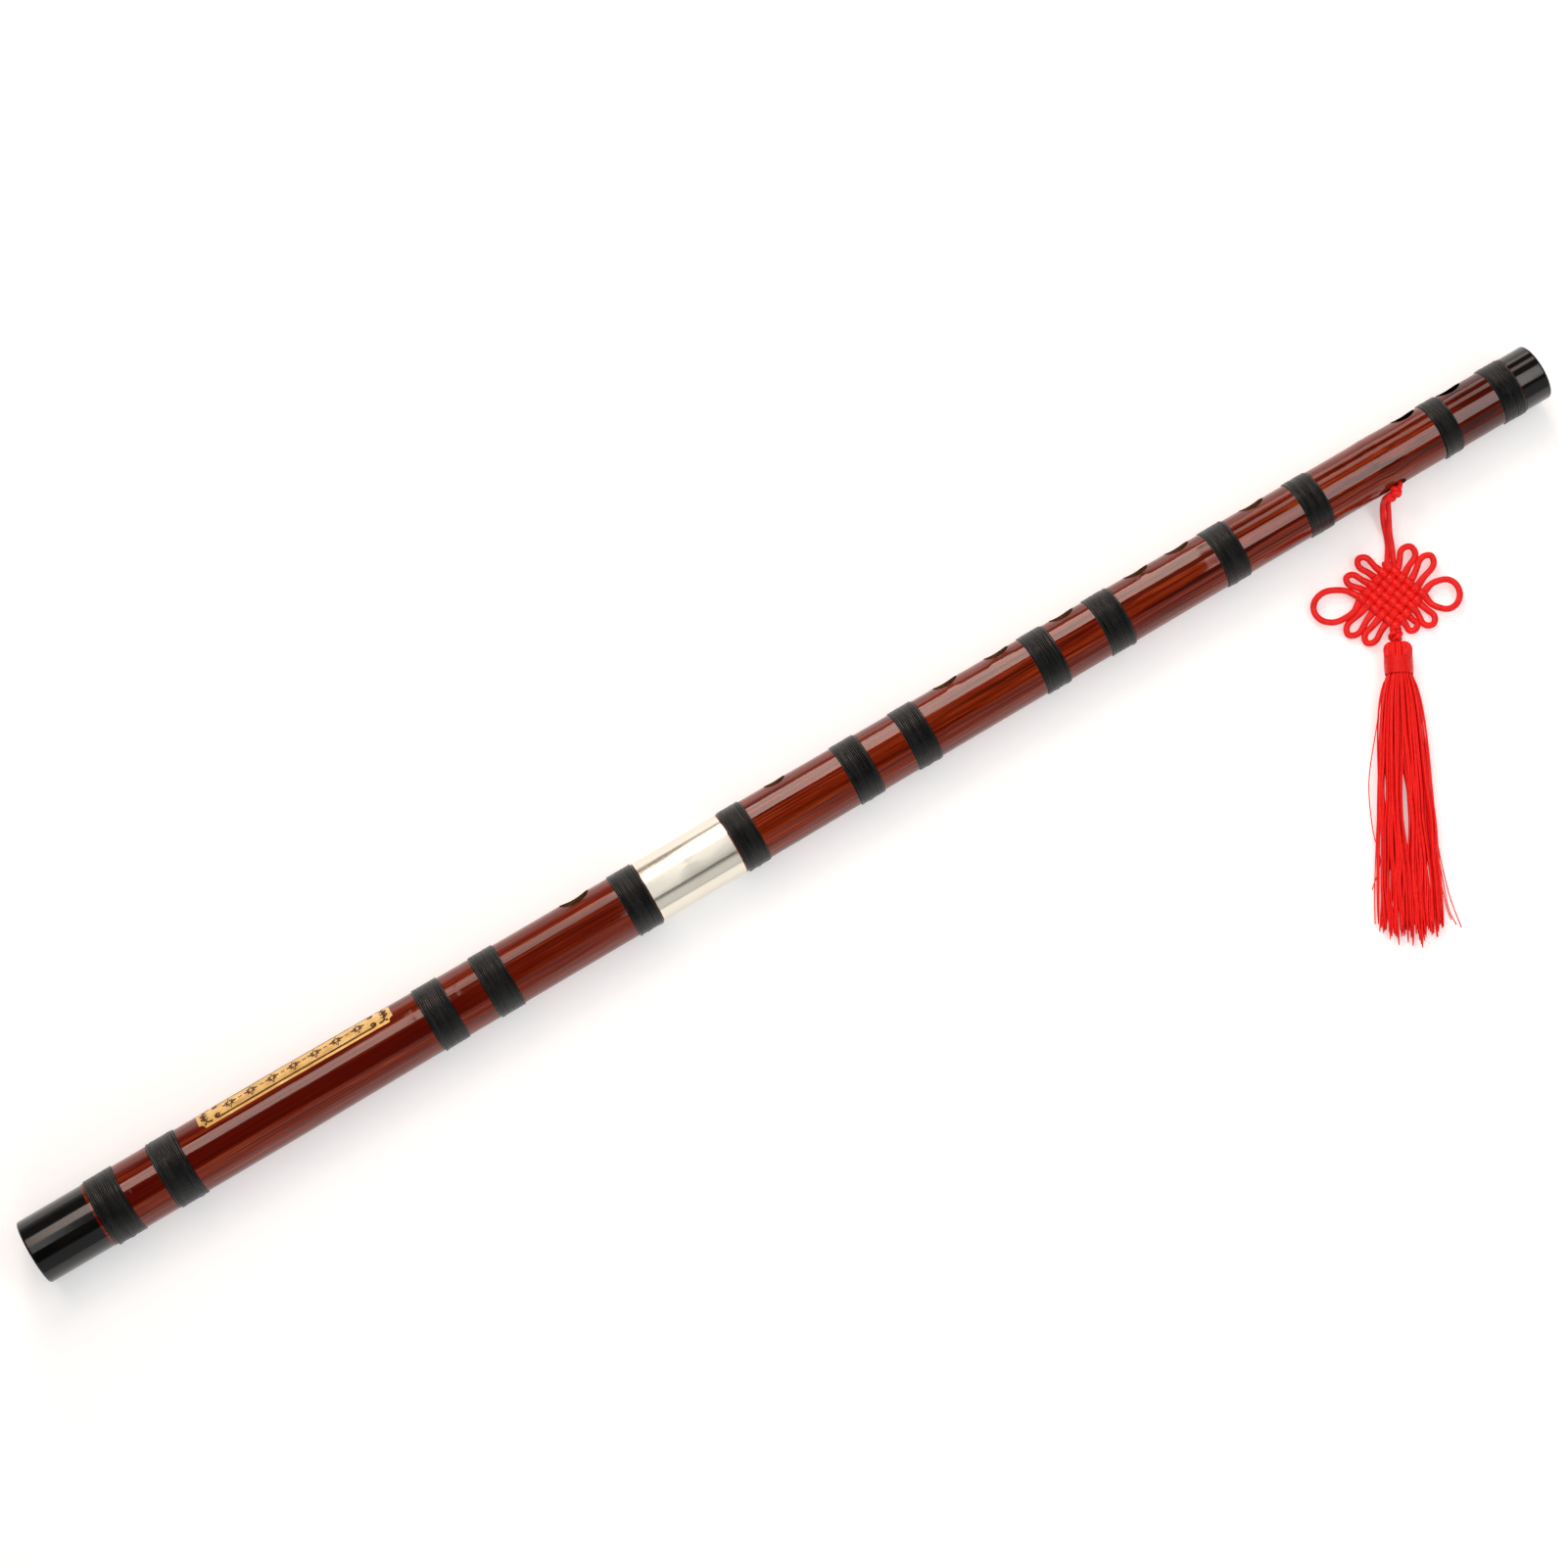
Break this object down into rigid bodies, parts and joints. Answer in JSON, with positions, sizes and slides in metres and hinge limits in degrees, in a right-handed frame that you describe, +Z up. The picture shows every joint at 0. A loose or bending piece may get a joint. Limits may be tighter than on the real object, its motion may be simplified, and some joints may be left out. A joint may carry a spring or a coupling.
{
  "type": "bamboo flute",
  "caption": "Two-section transverse bamboo flute with thread bindings, a sliding metal joint, horn end caps and a hanging knotted cord pendant with a tassel.",
  "frame": {"origin": "on the surface it lies on, under the middle of the flute's length and axis", "axes": "+X along the flute's axis towards its foot end; +Z up from the surface; +Y is the side the blow hole and finger holes face"},
  "size_m": [0.6568, 0.1792, 0.0271],
  "materials": {
    "bamboo": "glossy deep red-brown lacquer over bamboo",
    "horn": "polished black horn",
    "cork": "natural cork",
    "gilt": "gilt leaf with dark red-brown line ornament",
    "nickel_silver": "brushed nickel silver",
    "binding_thread": "waxed and lacquered black thread",
    "red_cord": "satin braided red cord",
    "red_silk": "red silk thread"
  },
  "bodies": {
    "head_section": {"head_bamboo_tube": "bamboo", "head_end_cap": "horn", "cork_stopper": "cork", "gilt_panel": "gilt", "joint_ferrule": "nickel_silver", "joint_socket_liner": "nickel_silver", "head_binding_1": "binding_thread", "head_binding_2": "binding_thread", "head_binding_3": "binding_thread", "head_binding_4": "binding_thread", "head_binding_5": "binding_thread"},
    "tail_section": {"tail_bamboo_tube": "bamboo", "joint_tenon": "nickel_silver", "tail_end_cap": "horn", "tail_binding_1": "binding_thread", "tail_binding_2": "binding_thread", "tail_binding_3": "binding_thread", "tail_binding_4": "binding_thread", "tail_binding_5": "binding_thread", "tail_binding_6": "binding_thread", "tail_binding_7": "binding_thread", "tail_binding_8": "binding_thread", "tail_binding_9": "binding_thread", "hitch_knot": "red_cord", "hitch_loop": "red_cord", "hitch_strand_left": "red_cord", "hitch_strand_right": "red_cord"},
    "pendant": {"pendant_cord_left": "red_cord", "pendant_cord_right": "red_cord", "knot_core": "red_cord", "knot_small_ears": "red_cord", "knot_big_ears": "red_cord", "button_knot": "red_cord"},
    "tassel": {"tassel_threads": "red_silk", "tassel_wrap": "red_silk"}
  },
  "joints": [
    {"name": "tuning_slide", "type": "slide", "parent": "head_section", "child": "tail_section", "axis": [1, 0, 0], "range_m": [0, 0.04]},
    {"name": "pendant_swing", "type": "hinge", "parent": "tail_section", "child": "pendant", "pos_m": [0.2525, -0.0137, 0.0098], "axis": [0, 0, 1], "range_deg": [-30, 75]},
    {"name": "tassel_swing", "type": "hinge", "parent": "pendant", "child": "tassel", "pos_m": [0.2291, -0.0595, 0.0032], "axis": [0, 0, 1], "range_deg": [-30, 30]}
  ]
}
